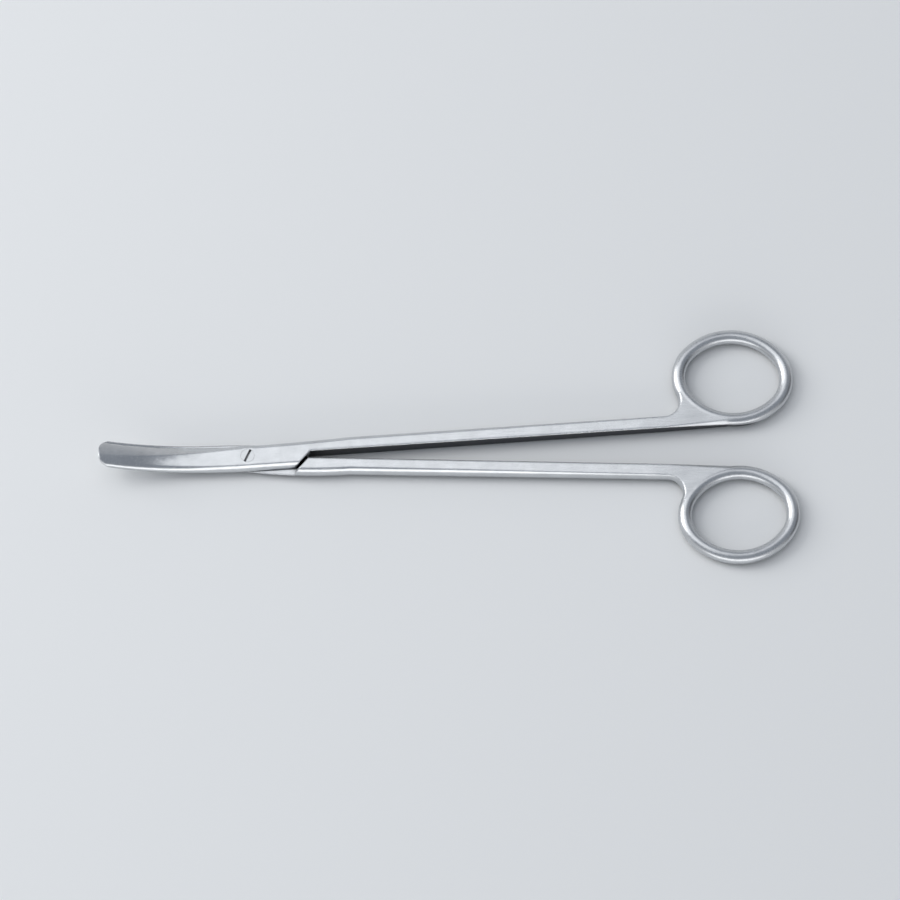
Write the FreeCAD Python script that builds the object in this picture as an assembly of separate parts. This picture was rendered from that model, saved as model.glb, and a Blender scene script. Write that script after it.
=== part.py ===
# Curved dissecting scissors: two forged halves that cross at a flush slotted screw.
# The origin lies on the pivot axis in the plane of the joint's underside. +X runs to the
# finger rings along the bisector of the shanks, and +Z is up to the slotted face.
# The upper half carries the ring at +Y. The lower half is its half-turn about X, apart
# from the blade, because both blades curve up towards the same side, and from the flare
# beside the joint, which bulges more.

import FreeCAD, Part
import math
import os

V = FreeCAD.Vector

# Joint
joint_thickness = 4.4
joint_clearance = 0.06
spine_half_width = 3.75
edge_half_width = 3.1
plate_shoulder_half_width = 2.95
plate_overlap = 0.9
shoulder_x = 15.5
shoulder_y = 1.0
shoulder_angle = 48.0
shoulder_gap = 0.9

# Outer side of the joint, which flares from the blades out to the shanks
flare_end_x = 26.0
upper_flare_bulge = -0.2
lower_flare_bulge = 0.8

# Blades
blade_root_x = 3.0
blade_reach = 37.8
blade_curve_start = 10.0
blade_curve_radius = 62.0
blade_tip_thickness = 1.05
blade_tip_narrowing = 0.2
blade_crown_lean = 8.0
blade_nose_length = 4.2
blade_end_half_width = 1.15

# Cutting bevel along the outer face of a blade
cutting_edge_thickness = 0.3
bevel_tip_width = 3.6
bevel_run_out = 15.0
bevel_roundness = 0.08

# Rounded spine of plate and blade
spine_round_width = 1.15
spine_land = 0.3
spine_roundness = 0.2

# Shanks
crotch_half_gap = 0.85
shank_root_width = 3.7
shank_end_width = 3.6
shank_side_extra_radius = 0.35
wall_chamfer_root = 0.25
wall_chamfer_end = 1.0

# Finger rings
ring_x = 125.1
ring_y = 18.8
ring_toe_in = 3.5
ring_opening_length = 24.2
ring_opening_width = 19.5
ring_section = 3.55
ring_proud_of_wall = 0.3
ring_proud_of_web = 0.08
ring_fillet = 4.0
ring_fillet_overlap = 0.05

# Pivot screw
screw_diameter = 2.6
screw_head_diameter = 3.5
screw_head_depth = 0.9
screw_running_clearance = 0.04
screw_thread_clearance = 0.02
slot_width = 0.6
slot_depth = 0.6
slot_angle = 64.0

# Sections along the curved lofts, and angles of the spaces cut away beside them
flare_steps = 3
blade_steps = 6
blade_overrun = 1.0
outside_angle = 75.0
mating_half_turn = 80.0

# Values worked out from the sizes above
mid = joint_thickness / 2
half_gap = joint_clearance / 2
beyond = 4 * blade_reach
side_radius = mid + shank_side_extra_radius
web_thickness = ring_section - 2 * ring_proud_of_web
ring_a = (ring_opening_length + ring_section) / 2
ring_b = (ring_opening_width + ring_section) / 2
ring_end_radius = ring_b ** 2 / ring_a
ring_end_x = ring_a - ring_end_radius
ring_side_radius = (ring_end_x ** 2 + ring_b ** 2 - ring_end_radius ** 2) / (2 * (ring_b - ring_end_radius))
ring_side_y = ring_side_radius - ring_b
wall_at_ring = ring_y - ring_b - ring_section / 2 + ring_proud_of_wall
wall_slope = (wall_at_ring - crotch_half_gap) / (ring_x - shoulder_x)
outer_slope = wall_slope + (shank_end_width - shank_root_width) / (ring_x - flare_end_x)


# Plan lines of the upper shank: inner wall, and outer side from the flare to the ring
def wall_y(x):
    return crotch_half_gap + wall_slope * (x - shoulder_x)


def outer_y(x):
    return wall_y(flare_end_x) + shank_root_width + outer_slope * (x - flare_end_x)


# Outer side of the joint from the blade's edge to the end of the flare
def flare_y(x, bulge):
    share = (x + blade_root_x) / (flare_end_x + blade_root_x)
    straight = edge_half_width + (outer_y(flare_end_x) - edge_half_width) * share
    return straight + 4 * bulge * share * (1 - share)


# How far the rounded outer side stands out past the flat face
def side_round(thickness):
    return side_radius - math.sqrt(side_radius ** 2 - (thickness / 2) ** 2)


# Where the shoulder line crosses the height y, moved towards the tips by an offset
def shoulder_line(y, offset):
    slant = math.radians(shoulder_angle)
    return shoulder_x + (y + shoulder_y) / math.tan(slant) - offset / math.sin(slant)


def turned(x, y, angle):
    c = math.cos(math.radians(angle))
    s = math.sin(math.radians(angle))
    return x * c - y * s, x * s + y * c


def lines(points):
    return [Part.makeLine(a, b) for a, b in zip(points, points[1:])]


def arc(a, b, c):
    return Part.Arc(a, b, c).toShape()


def extruded(edges, bottom, top):
    face = Part.Face(Part.Wire(edges))
    face.translate(V(0, 0, bottom))
    return face.extrude(V(0, 0, top - bottom))


def plan_prism(points, bottom, top):
    corners = [V(x, y, 0) for x, y in points]
    return extruded(lines(corners + corners[:1]), bottom, top)


def joined(first, *others):
    return first.fuse(list(others)).removeSplitter()


# Finger ring: an oval of four tangent arcs, each swept by the round section
def ring_point(x, y):
    px, py = turned(x, y, -ring_toe_in)
    return V(ring_x + px, ring_y + py, 0)


def ring_arcs():
    end_share = math.degrees(math.atan2(ring_side_y, ring_end_x))
    side_share = 90 - end_share
    return (
        ((ring_end_x, 0), 0, end_share, ring_end_radius),
        ((0, -ring_side_y), 90, side_share, ring_side_radius),
        ((-ring_end_x, 0), 180, end_share, ring_end_radius),
        ((0, ring_side_y), 270, side_share, ring_side_radius),
    )


def ring_piece(centre, direction, share, radius):
    axis_point = ring_point(*centre) + V(0, 0, mid)
    start = direction - share - ring_toe_in
    outwards = V(*turned(1, 0, start), 0)
    along = V(*turned(0, 1, start), 0)
    section = Part.makeCircle(ring_section / 2, axis_point + outwards * radius, along)
    face = Part.Face(Part.Wire([section]))
    return face.revolve(axis_point, V(0, 0, 1), 2 * share)


def finger_ring():
    return joined(*[ring_piece(*piece) for piece in ring_arcs()])


# Prism inside the ring's centreline, which clears the opening in shank and web
def ring_inside():
    edges = []
    for centre, direction, share, radius in ring_arcs():
        points = []
        for angle in (direction - share, direction, direction + share):
            px, py = turned(radius, 0, angle)
            points.append(ring_point(centre[0] + px, centre[1] + py))
        edges.append(arc(*points))
    return extruded(edges, -joint_thickness, 2 * joint_thickness)


# Flat inner wall and flat faces of a shank section, as corners from below to above
def flat_corners(x, thickness, chamfer, far_y):
    inner = wall_y(x)
    h = thickness / 2
    return [
        V(x, far_y, mid - h),
        V(x, inner + chamfer, mid - h),
        V(x, inner, mid - h + chamfer),
        V(x, inner, mid + h - chamfer),
        V(x, inner + chamfer, mid + h),
        V(x, far_y, mid + h),
    ]


# Shank section with its rounded outer side
def shank_section(x, thickness, chamfer):
    corners = flat_corners(x, thickness, chamfer, outer_y(x) - side_round(thickness))
    side = arc(corners[-1], V(x, outer_y(x), mid), corners[0])
    return Part.Wire(lines(corners) + [side])


# Shank from the end of the flare through the web to the ring
def shank():
    web_x = fillet_corner()[0].x
    stations = (
        (flare_end_x, joint_thickness, wall_chamfer_root),
        (web_x, web_thickness, wall_chamfer_root),
        (ring_x, web_thickness, wall_chamfer_end),
    )
    return Part.makeLoft([shank_section(*station) for station in stations], True, True)


# Everything outside the rounded side of the joint, in a section at one place
def outside_section(x, bulge, far_y):
    centre = V(x, flare_y(x, bulge) - side_radius, mid)
    foot_y, foot_z = turned(side_radius, 0, outside_angle)
    low, high = [centre + V(0, foot_y, z) for z in (-foot_z, foot_z)]
    side = arc(high, centre + V(0, side_radius, 0), low)
    return Part.Wire([side] + lines([low, V(x, far_y, low.z), V(x, far_y, high.z), high]))


# Root of the shank in the joint, with the side rounded along the flare
def shank_root(bulge):
    far_y = outer_y(flare_end_x) + joint_thickness
    ends = []
    for x in (-blade_root_x, flare_end_x):
        corners = flat_corners(x, joint_thickness, wall_chamfer_root, far_y)
        ends.append(Part.Wire(lines(corners + corners[:1])))
    block = Part.makeLoft(ends, True, True)
    step = (flare_end_x + blade_root_x) / flare_steps
    places = [step * i - blade_root_x for i in range(flare_steps + 1)]
    outside = Part.makeLoft([outside_section(x, bulge, 2 * far_y) for x in places], True, False)
    return block.cut(outside)


# Centre of the inside corner between shank and ring, with the angle that the corner turns
def fillet_corner():
    slope = math.degrees(math.atan(outer_slope))
    along = V(*turned(1, 0, slope), 0)
    across = V(*turned(0, 1, slope), 0)
    end_centre = ring_point(-ring_end_x, 0)
    reach = ring_end_radius + ring_section / 2 - ring_fillet_overlap + ring_fillet
    rise = V(ring_x, outer_y(ring_x), 0).dot(across) + ring_fillet - end_centre.dot(across)
    back = math.sqrt(reach ** 2 - rise ** 2)
    corner = end_centre + across * rise - along * back + V(0, 0, mid)
    return corner, across, 90 + math.degrees(math.atan2(-rise, back))


# Web and inside corner between shank and ring: the shank's side turned about the corner
def web():
    corner, across, sweep = fillet_corner()
    radii = (ring_fillet, ring_fillet + side_round(web_thickness), ring_fillet + ring_end_radius)
    side, crease, inside = [corner - across * radius for radius in radii]
    up = V(0, 0, web_thickness / 2)
    rim = [crease + up, inside + up, inside - up, crease - up]
    face = Part.Face(Part.Wire(lines(rim) + [arc(crease - up, side, crease + up)]))
    fan = face.revolve(corner, V(0, 0, 1), sweep)
    low = wall_y(0) + wall_chamfer_end
    high = wall_y(ring_x) + wall_chamfer_end
    past_wall = [(0, low), (ring_x, high), (ring_x, beyond), (0, beyond)]
    return fan.common(plan_prism(past_wall, 0, joint_thickness))


# Rounded spine from the face down to its land, as the points of an arc
def spine_arc(place, spine, thickness):
    land_height = spine_land * thickness / mid
    crease = spine + spine_round_width
    middle_y = (spine + crease) / 2 - spine_roundness
    middle_z = (land_height + thickness) / 2 + spine_roundness / 2
    return arc(place(spine, land_height), place(middle_y, middle_z), place(crease, thickness))


# Plate of the upper half in the joint, between spine and shank and up to the shoulder
def plate_section(x, half_width):
    def place(y, z):
        return V(x, y, mid + z)

    spine = -half_width
    rounding = spine_arc(place, spine, mid)
    inside = wall_y(x) + plate_overlap
    corners = [
        place(spine + spine_round_width, mid),
        place(inside, mid),
        place(inside, half_gap),
        place(spine, half_gap),
        place(spine, spine_land),
    ]
    return Part.Wire([rounding] + lines(corners))


def joint_plate():
    end_x = shoulder_line(crotch_half_gap, shoulder_gap)
    wires = [
        plate_section(-blade_root_x, spine_half_width),
        plate_section(end_x, plate_shoulder_half_width),
    ]
    plate = Part.makeLoft(wires, True, True)
    low_x = shoulder_line(-beyond, shoulder_gap)
    past_shoulder = [(end_x, crotch_half_gap), (low_x, -beyond), (end_x, -beyond)]
    return plate.cut(plan_prism(past_shoulder, 0, joint_thickness))


# Space of the lower plate under the upper half, up to the upper half's own shoulder
def lap_space():
    near_x = shoulder_line(beyond, 0)
    far_x = shoulder_line(-beyond, 0)
    corners = [(near_x, -beyond), (far_x, beyond), (-2 * beyond, beyond), (-2 * beyond, -beyond)]
    return plan_prism(corners, -joint_thickness, mid + half_gap)


# Middle surface of the blades at a distance from the pivot
def curve_angle(r):
    return math.asin(max(0.0, r - blade_curve_start) / blade_curve_radius)


def curve_height(r):
    return mid + blade_curve_radius * (1 - math.cos(curve_angle(r)))


# Height of the shank's rounded side above the middle plane where the blade begins
def root_side_height(y):
    from_centre = y - (edge_half_width - side_radius)
    return math.sqrt(side_radius ** 2 - from_centre ** 2)


# Blade section at a distance from the pivot, side 1 for the upper half, -1 for the lower
def blade_section(r, side):
    share = (r - blade_root_x) / (blade_reach - blade_root_x)
    angle = curve_angle(r)
    origin = V(-r, 0, curve_height(r))
    normal = V(math.sin(angle), 0, math.cos(angle)) * side
    across = V(0, side, 0)

    def place(y, z):
        return origin + across * y + normal * z

    thick = mid + (blade_tip_thickness - mid) * share
    spine = -(spine_half_width - blade_tip_narrowing * share)
    edge = edge_half_width - blade_tip_narrowing * share
    root_bevel = side_round(joint_thickness)
    root_roundness = root_side_height(edge_half_width - root_bevel / 2) - mid / 2
    bevel_y = edge - root_bevel - (bevel_tip_width - root_bevel) * share
    run = 1 - min(1.0, (r - blade_root_x) / bevel_run_out)
    edge_z = cutting_edge_thickness * (1 - run ** 2)
    roundness = bevel_roundness + (root_roundness - bevel_roundness) * run ** 2
    bevel = arc(
        place(bevel_y, thick),
        place((bevel_y + edge) / 2, (thick + edge_z) / 2 + roundness),
        place(edge, edge_z))
    below = -blade_tip_thickness
    corners = [place(edge, edge_z), place(edge, below), place(spine, below)]
    corners.append(place(spine, spine_land * thick / mid))
    edges = lines(corners)
    edges.append(spine_arc(place, spine, thick))
    crease = spine + spine_round_width
    if share > 0:
        lean = math.tan(math.radians(blade_crown_lean)) * min(1.0, 2 * share)
        crown = place((crease + bevel_y) / 2, thick + lean * (bevel_y - crease) / 4)
        edges.append(arc(place(crease, thick), crown, place(bevel_y, thick)))
    else:
        edges += lines([place(crease, thick), place(bevel_y, thick)])
    return Part.Wire(edges + [bevel])


# Everything on the far side of the mating surface, which is turned about the pivot axis
# so that the blades stay clear of each other at every opening angle
def mating_space(side):
    lift = side * half_gap
    reach = blade_reach + blade_nose_length
    bend_radius = blade_curve_radius * math.sin(curve_angle(reach) / 2)
    middle_r = blade_curve_start + bend_radius
    start = V(0, 0, mid + lift)
    bend = V(-blade_curve_start, 0, mid + lift)
    middle = V(-middle_r, 0, curve_height(middle_r) + lift)
    tip = V(-reach, 0, curve_height(reach) + lift)
    corners = [tip, V(-reach, 0, -side * beyond), V(0, 0, -side * beyond), start]
    face = Part.Face(Part.Wire(lines([start, bend]) + [arc(bend, middle, tip)] + lines(corners)))
    face.rotate(V(0, 0, 0), V(0, 0, 1), -mating_half_turn)
    return face.revolve(V(0, 0, 0), V(0, 0, 1), 2 * mating_half_turn)


# Plan outline of both blades with their blunt nose
def blade_plan():
    nose_x = blade_nose_length - blade_reach
    turn = math.sqrt(0.5)
    middle_x = nose_x - blade_nose_length * turn
    middle_y = blade_end_half_width + (spine_half_width - blade_end_half_width) * turn
    sides = []
    for side in (-1, 1):
        points = (nose_x, spine_half_width), (middle_x, middle_y), (-blade_reach, blade_end_half_width)
        sides.append([V(x, side * y, 0) for x, y in points])
    right, left = sides
    end = lines([right[-1], left[-1]])
    root = [V(-blade_root_x, side * spine_half_width, 0) for side in (1, -1)]
    straight = lines([left[0]] + root + [right[0]])
    outline = [arc(*right)] + end + [arc(*reversed(left))] + straight
    return extruded(outline, -beyond, beyond)


def blade(side):
    last = blade_reach + blade_overrun
    stations = [blade_root_x, (blade_root_x + blade_curve_start) / 2]
    for step in range(blade_steps + 1):
        stations.append(blade_curve_start + (last - blade_curve_start) * step / blade_steps)
    body = Part.makeLoft([blade_section(r, side) for r in stations], True, False)
    return body.common(blade_plan()).cut(mating_space(side))


# Ring, web, shank and joint plate of the upper half, without its blade
def handle(flare_bulge):
    bar = joined(shank_root(flare_bulge).cut(lap_space()), shank())
    bar_and_web = joined(bar, web()).cut(ring_inside())
    return joined(bar_and_web, joint_plate(), finger_ring())


def bore(clearance):
    return Part.makeCylinder(screw_diameter / 2 + clearance, 2 * joint_thickness, V(0, 0, -mid))


def upper_half():
    radii = screw_diameter / 2, screw_head_diameter / 2
    low, high = [radius + screw_running_clearance for radius in radii]
    seat = Part.makeCone(low, high, screw_head_depth, V(0, 0, joint_thickness - screw_head_depth))
    return joined(handle(upper_flare_bulge), blade(1)).cut(bore(screw_running_clearance).fuse(seat))


def lower_half():
    turned_handle = handle(lower_flare_bulge)
    turned_handle.rotate(V(0, 0, mid), V(1, 0, 0), 180)
    return joined(turned_handle, blade(-1)).cut(bore(screw_thread_clearance))


def pivot_screw():
    radius = screw_diameter / 2
    corners = [
        V(0, 0, 0),
        V(radius, 0, 0),
        V(radius, 0, joint_thickness - screw_head_depth),
        V(screw_head_diameter / 2, 0, joint_thickness),
        V(0, 0, joint_thickness),
        V(0, 0, 0),
    ]
    body = Part.Face(Part.makePolygon(corners)).revolve(V(0, 0, 0), V(0, 0, 1), 360)
    slot = Part.makeBox(2 * screw_head_diameter, slot_width, 2 * slot_depth)
    slot.translate(V(-screw_head_diameter, -slot_width / 2, joint_thickness - slot_depth))
    slot.rotate(V(0, 0, 0), V(0, 0, 1), slot_angle)
    return body.cut(slot)


def main():
    os.makedirs("parts", exist_ok=True)
    nodes = {
        "upper_half": upper_half(),
        "lower_half": lower_half(),
        "pivot_screw": pivot_screw(),
    }
    for name, shape in nodes.items():
        print(name, shape.isValid(), len(shape.Solids), round(shape.Volume, 2))
        shape.exportStep("parts/" + name + ".step")


main()
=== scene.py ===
# Looks of the curved dissecting scissors: satin stainless steel, a flush pivot screw,
# a pale floor and soft studio light, seen from the photograph's side at its steep angle.

import bmesh
import bpy
import math
from mathutils import Matrix, Vector

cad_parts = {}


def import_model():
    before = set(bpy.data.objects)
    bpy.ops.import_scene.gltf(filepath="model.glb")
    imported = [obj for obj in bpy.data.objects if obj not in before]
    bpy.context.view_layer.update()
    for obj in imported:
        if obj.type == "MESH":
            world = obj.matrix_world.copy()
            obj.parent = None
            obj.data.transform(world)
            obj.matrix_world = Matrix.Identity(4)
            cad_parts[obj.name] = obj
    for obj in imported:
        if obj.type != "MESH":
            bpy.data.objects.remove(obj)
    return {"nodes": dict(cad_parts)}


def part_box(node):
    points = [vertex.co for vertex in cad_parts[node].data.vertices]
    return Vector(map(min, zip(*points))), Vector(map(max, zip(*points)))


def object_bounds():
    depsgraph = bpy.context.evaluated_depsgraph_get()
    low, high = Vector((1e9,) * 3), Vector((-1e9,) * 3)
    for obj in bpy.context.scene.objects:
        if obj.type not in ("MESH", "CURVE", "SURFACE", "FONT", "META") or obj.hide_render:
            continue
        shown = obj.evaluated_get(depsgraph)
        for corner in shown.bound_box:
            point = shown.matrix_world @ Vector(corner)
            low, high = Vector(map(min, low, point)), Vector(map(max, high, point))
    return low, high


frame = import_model()
cad_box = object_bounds()

MM = 0.001
NOISE_DETAIL = 2.0
NOISE_ROUGHNESS = 0.6


def linear(hex_colour):
    channels = [int(hex_colour[i:i + 2], 16) / 255 for i in (1, 3, 5)]
    return tuple(c / 12.92 if c <= 0.04045 else ((c + 0.055) / 1.055) ** 2.4 for c in channels) + (1.0,)


def node(tree, kind, inputs=None, **settings):
    """Adds one node with its settings. An input gets a value or a link from a socket."""
    new = tree.nodes.new(kind)
    for name, value in settings.items():
        setattr(new, name, value)
    for name, value in (inputs or {}).items():
        if isinstance(value, bpy.types.NodeSocket):
            tree.links.new(value, new.inputs[name])
        else:
            new.inputs[name].default_value = value
    return new


# Sockets of the Mix node for colours, which shares its names with its other kinds
MIX_FACTOR, MIX_FROM, MIX_TO, MIX_RESULT = 0, 6, 7, 2


def mixed(tree, colour_from, colour_to, factor):
    inputs = {MIX_FACTOR: factor, MIX_FROM: colour_from, MIX_TO: colour_to}
    return node(tree, "ShaderNodeMix", inputs, data_type="RGBA").outputs[MIX_RESULT]


def ramped(tree, value, low, high, to_low, to_high):
    """Maps a value from one range to another and keeps it inside."""
    inputs = {"Value": value, "From Min": low, "From Max": high, "To Min": to_low, "To Max": to_high}
    return node(tree, "ShaderNodeMapRange", inputs).outputs["Result"]


def calculated(tree, operation, first, second=0.0):
    return node(tree, "ShaderNodeMath", {0: first, 1: second}, operation=operation).outputs["Value"]


def along_axis(tree, vector, axis):
    return node(tree, "ShaderNodeSeparateXYZ", {"Vector": vector}).outputs[axis]


def noise(tree, place, sizes, detail=NOISE_DETAIL):
    """Noise with a pattern size in metres for each axis."""
    scale = tuple(1 / length for length in sizes)
    scaled = node(tree, "ShaderNodeMapping", {"Vector": place, "Scale": scale}).outputs["Vector"]
    inputs = {"Vector": scaled, "Scale": 1.0, "Detail": detail, "Roughness": NOISE_ROUGHNESS}
    return node(tree, "ShaderNodeTexNoise", inputs).outputs["Fac"]


def bumped(tree, height, depth, normal):
    inputs = {"Height": height, "Distance": depth, "Strength": 1.0, "Normal": normal}
    return node(tree, "ShaderNodeBump", inputs).outputs["Normal"]


def material(name):
    made = bpy.data.materials.new(name)
    made.use_nodes = True
    made.node_tree.nodes.clear()
    return made, made.node_tree


# Polished stainless steel of surgical scissors: forged, hand ground and polished, which
# leaves soft reflections, fine lines along the length, slightly uneven flats, edges that
# polishing has rounded and brightened, and softer satin on the rings. Walls deep in gaps and
# slots get painted shade. The inner walls of the shanks are painted dark, a painted
# reflection of shade. The screw is ground flush, so the edges round it stay crisp.
POLISH_WAVE = (14 * MM, 7 * MM, 7 * MM)
POLISH_WAVE_DEPTH = 0.014 * MM
CLOUD = (5 * MM, 5 * MM, 5 * MM)
CLOUD_DETAIL = 4.0
CLOUD_SPREAD = (0.35, 0.65)
GRAIN = (5 * MM, 0.11 * MM, 0.11 * MM)
GRAIN_DEPTH = 0.0022 * MM
GRAIN_SPREAD = (0.3, 0.7)
GRAIN_POLISH = (-0.05, 0.06)
SCRATCH = (0.16 * MM, 3 * MM, 3 * MM)
SCRATCH_DEPTH = 0.0012 * MM
EDGE_RADIUS = 0.6 * MM
CRISP_EDGE_RADIUS = 0.03 * MM
CRISP_WITHIN = 2.2 * MM
ROUNDED_FROM = 2.6 * MM
ROUNDING_SAMPLES = 6
EDGE_MATCH = (0.99, 0.9)
SATIN_FROM = 100 * MM
FULL_SATIN_FROM = 112 * MM
SATIN_ROUGHNESS = 0.08
# Painted shade: near-black mixed into the steel where ambient occlusion finds gaps and slots
GAP_DEPTH = 2.5 * MM
GAP_SAMPLES = 8
GAP_OPENNESS = (0.36, 0.7)
GAP_SHADE_COLOUR = "#121316"
# Painted reflection of shade: the shanks' inward-facing walls are painted dark
SHADED_WALL_COLOUR = "#383a3f"
WALL_FROM = 14 * MM
FULL_WALL_FROM = 15.4 * MM
WALL_WITHIN = 6.3 * MM
NO_WALL_FROM = 6.9 * MM
WALL_FACING = (0.9, 0.98)


def edge_radius(tree, place):
    """Radius to which edges look rounded, which is next to nothing round the screw."""
    flat_place = node(tree, "ShaderNodeVectorMath", {0: place, 1: (1.0, 1.0, 0.0)}, operation="MULTIPLY")
    distance = node(tree, "ShaderNodeVectorMath", {0: flat_place.outputs["Vector"]}, operation="LENGTH")
    return ramped(
        tree, distance.outputs["Value"], CRISP_WITHIN, ROUNDED_FROM, CRISP_EDGE_RADIUS, EDGE_RADIUS)


def inner_wall_shade_mask(tree, place, own_normal, inwards):
    """Mask of the painted shade on the wall of a shank that faces inwards, along Y or against it."""
    facing = calculated(tree, "MULTIPLY", along_axis(tree, own_normal, "Y"), inwards)
    shaded_wall = ramped(tree, facing, *WALL_FACING, 0.0, 1.0)
    on_shank = ramped(tree, along_axis(tree, place, "X"), WALL_FROM, FULL_WALL_FROM, 0.0, 1.0)
    from_middle = calculated(tree, "ABSOLUTE", along_axis(tree, place, "Y"))
    near = ramped(tree, from_middle, WALL_WITHIN, NO_WALL_FROM, 1.0, 0.0)
    return calculated(tree, "MULTIPLY", calculated(tree, "MULTIPLY", shaded_wall, on_shank), near)


def polished_steel(name, colour, cloud_colour, edge_colour, roughness, inwards):
    steel, tree = material(name)
    coordinates = node(tree, "ShaderNodeTexCoord")
    place = coordinates.outputs["Object"]
    cloud = noise(tree, place, CLOUD, CLOUD_DETAIL)
    wave = noise(tree, place, POLISH_WAVE)
    grain = noise(tree, place, GRAIN)
    scratch = noise(tree, place, SCRATCH)

    radius = edge_radius(tree, place)
    bevel = node(tree, "ShaderNodeBevel", {"Radius": radius}, samples=ROUNDING_SAMPLES)
    rounded = bevel.outputs["Normal"]
    flat = node(tree, "ShaderNodeNewGeometry").outputs["Normal"]
    match = node(tree, "ShaderNodeVectorMath", {0: rounded, 1: flat}, operation="DOT_PRODUCT")
    edge = ramped(tree, match.outputs["Value"], *EDGE_MATCH, 0.0, 1.0)
    normal = bumped(tree, wave, POLISH_WAVE_DEPTH, rounded)
    normal = bumped(tree, grain, GRAIN_DEPTH, normal)
    normal = bumped(tree, scratch, SCRATCH_DEPTH, normal)

    clouded = ramped(tree, cloud, *CLOUD_SPREAD, 0.0, 1.0)
    # Painted reflection of shade on the shanks' inner walls
    shaded_wall = inner_wall_shade_mask(tree, place, coordinates.outputs["Normal"], inwards)
    # Painted shade deep in gaps and slots, from ambient occlusion
    surroundings = node(
        tree, "ShaderNodeAmbientOcclusion", {"Distance": GAP_DEPTH}, samples=GAP_SAMPLES)
    gap_shade = ramped(tree, surroundings.outputs["AO"], *GAP_OPENNESS, 1.0, 0.0)
    surface = mixed(tree, linear(colour), linear(cloud_colour), clouded)
    surface = mixed(tree, surface, linear(edge_colour), edge)
    surface = mixed(tree, surface, linear(SHADED_WALL_COLOUR), shaded_wall)
    surface = mixed(tree, surface, linear(GAP_SHADE_COLOUR), gap_shade)

    smoothest, roughest = [roughness + change for change in GRAIN_POLISH]
    polish = ramped(tree, grain, *GRAIN_SPREAD, smoothest, roughest)
    to_rings = along_axis(tree, place, "X")
    satin = ramped(tree, to_rings, SATIN_FROM, FULL_SATIN_FROM, 0.0, SATIN_ROUGHNESS)
    shader = node(tree, "ShaderNodeBsdfPrincipled", {
        "Metallic": 1.0,
        "Base Color": surface,
        "Roughness": calculated(tree, "ADD", polish, satin),
        "Normal": normal,
    })
    node(tree, "ShaderNodeOutputMaterial", {"Surface": shader.outputs["BSDF"]})
    return steel


def assign(name, made):
    slots = frame["nodes"][name].data.materials
    slots.clear()
    slots.append(made)


# Colour, clouds, edges and roughness of the halves' and of the screw's steel
SATIN = ("#d0d2d4", "#c7c9cb", "#d8dadc", 0.22)
GROUND = ("#ced0d2", "#c7c9cb", "#ced0d2", 0.24)
assign("upper_half", polished_steel("satin_polished_steel_upper", *SATIN, -1.0))
assign("lower_half", polished_steel("satin_polished_steel_lower", *SATIN, 1.0))
assign("pivot_screw", polished_steel("ground_screw_steel", *GROUND, 0.0))


# Camera: steep view from the side of the lower ring, almost without perspective
PIXELS = 900
PIXELS_PER_MM = 3.9
PIVOT_PIXEL = (248.1, 458.6)
CAMERA_TILT = math.radians(21.5)
CAMERA_ROLL = math.radians(1.58)
LENS = 200.0
SENSOR = 36.0
NEAREST_SEEN = 0.01


def camera():
    pivot = Vector((0, 0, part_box("pivot_screw")[1].z / 2))
    right = Vector((math.cos(CAMERA_ROLL), -math.sin(CAMERA_ROLL), 0))
    away = Vector((math.sin(CAMERA_ROLL), math.cos(CAMERA_ROLL), 0))
    back = Vector((0, 0, 1)) * math.cos(CAMERA_TILT) - away * math.sin(CAMERA_TILT)
    up = back.cross(right)
    across = (PIXELS / 2 - PIVOT_PIXEL[0]) / PIXELS_PER_MM * MM
    rise = (PIVOT_PIXEL[1] - PIXELS / 2) / PIXELS_PER_MM * MM
    target = pivot + right * across + away * (rise / math.cos(CAMERA_TILT))
    distance = LENS / SENSOR * PIXELS / PIXELS_PER_MM * MM
    data = bpy.data.cameras.new("camera")
    data.lens = LENS
    data.sensor_width = SENSOR
    data.clip_start = NEAREST_SEEN
    made = bpy.data.objects.new("camera", data)
    turn = Matrix((right, up, back)).transposed().to_4x4()
    made.matrix_world = Matrix.Translation(target + back * distance) @ turn
    bpy.context.scene.collection.objects.link(made)
    bpy.context.scene.camera = made


# Studio: pale floor, a broad lamp overhead and behind, one to the left, one low in front
FLOOR_COLOUR = "#eceded"
FLOOR_ROUGHNESS = 0.9
FLOOR_HALF_SIZE = 3.0
FLOOR_DROP = 0.02 * MM
HORIZON_COLOUR = "#d3d5d8"
UPPER_COLOUR = "#969ca5"
FAR_END_COLOUR = "#404348"
UPPER_RISE = (0.3, 0.6)
FAR_END_TURN = (0.75, 0.95)
WORLD_STRENGTH = 1.0
LAMP_DISTANCE = 1.2


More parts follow.
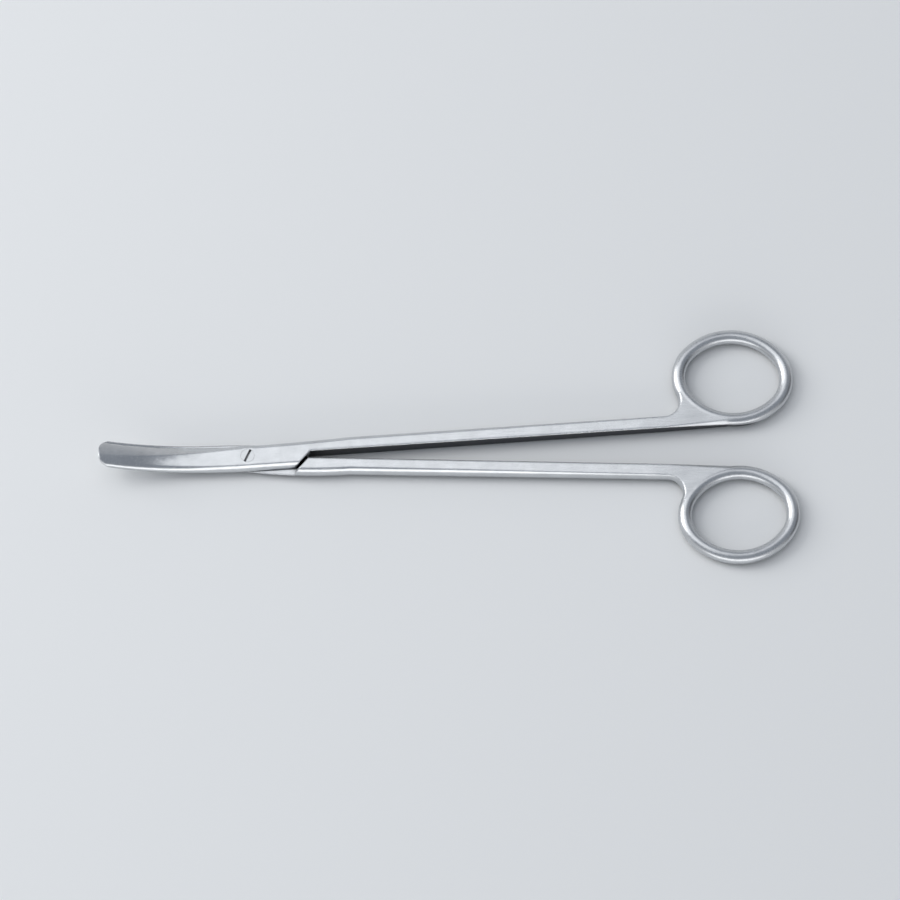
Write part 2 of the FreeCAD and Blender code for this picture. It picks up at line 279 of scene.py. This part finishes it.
def floor():
    sheet = bmesh.new()
    bmesh.ops.create_grid(sheet, x_segments=1, y_segments=1, size=FLOOR_HALF_SIZE)
    mesh = bpy.data.meshes.new("floor")
    sheet.to_mesh(mesh)
    sheet.free()
    made = bpy.data.objects.new("floor", mesh)
    made.location.z = -FLOOR_DROP
    bpy.context.scene.collection.objects.link(made)
    paper, tree = material("pale_paper_floor")
    look = {"Base Color": linear(FLOOR_COLOUR), "Roughness": FLOOR_ROUGHNESS}
    shader = node(tree, "ShaderNodeBsdfPrincipled", look)
    node(tree, "ShaderNodeOutputMaterial", {"Surface": shader.outputs["BSDF"]})
    mesh.materials.append(paper)


def lamp(name, azimuth, elevation, size, radiance):
    """Adds a softbox that faces the object, with the brightness that a mirror would show."""
    data = bpy.data.lights.new(name, "AREA")
    data.shape = "RECTANGLE"
    data.size, data.size_y = size
    data.energy = radiance * math.pi * size[0] * size[1]
    made = bpy.data.objects.new(name, data)
    around = math.radians(azimuth)
    above = math.radians(elevation)
    level = math.cos(above)
    towards = Vector((level * math.cos(around), level * math.sin(around), math.sin(above)))
    turn = towards.to_track_quat("Z", "Y").to_matrix().to_4x4()
    middle = (cad_box[0] + cad_box[1]) / 2
    made.matrix_world = Matrix.Translation(middle + towards * LAMP_DISTANCE) @ turn
    bpy.context.scene.collection.objects.link(made)


def world():
    """Pale studio walls, dimmer higher up and beyond the rings' end."""
    made = bpy.data.worlds.new("studio")
    made.use_nodes = True
    tree = made.node_tree
    tree.nodes.clear()
    direction = node(tree, "ShaderNodeTexCoord").outputs["Generated"]
    upper = ramped(tree, along_axis(tree, direction, "Z"), *UPPER_RISE, 0.0, 1.0)
    far_end = ramped(tree, along_axis(tree, direction, "X"), *FAR_END_TURN, 0.0, 1.0)
    colour = mixed(tree, linear(HORIZON_COLOUR), linear(UPPER_COLOUR), upper)
    colour = mixed(tree, colour, linear(FAR_END_COLOUR), far_end)
    shade = node(tree, "ShaderNodeBackground", {"Color": colour, "Strength": WORLD_STRENGTH})
    node(tree, "ShaderNodeOutputWorld", {"Surface": shade.outputs["Background"]})
    bpy.context.scene.world = made


camera()
floor()
world()
lamp("overhead_softbox", azimuth=144, elevation=67, size=(1.15, 1.05), radiance=0.97)
lamp("left_softbox", azimuth=160, elevation=35, size=(0.6, 0.8), radiance=4.0)
lamp("front_card", azimuth=270, elevation=13, size=(1.6, 0.5), radiance=1.4)

bpy.context.scene.view_settings.view_transform = "Standard"
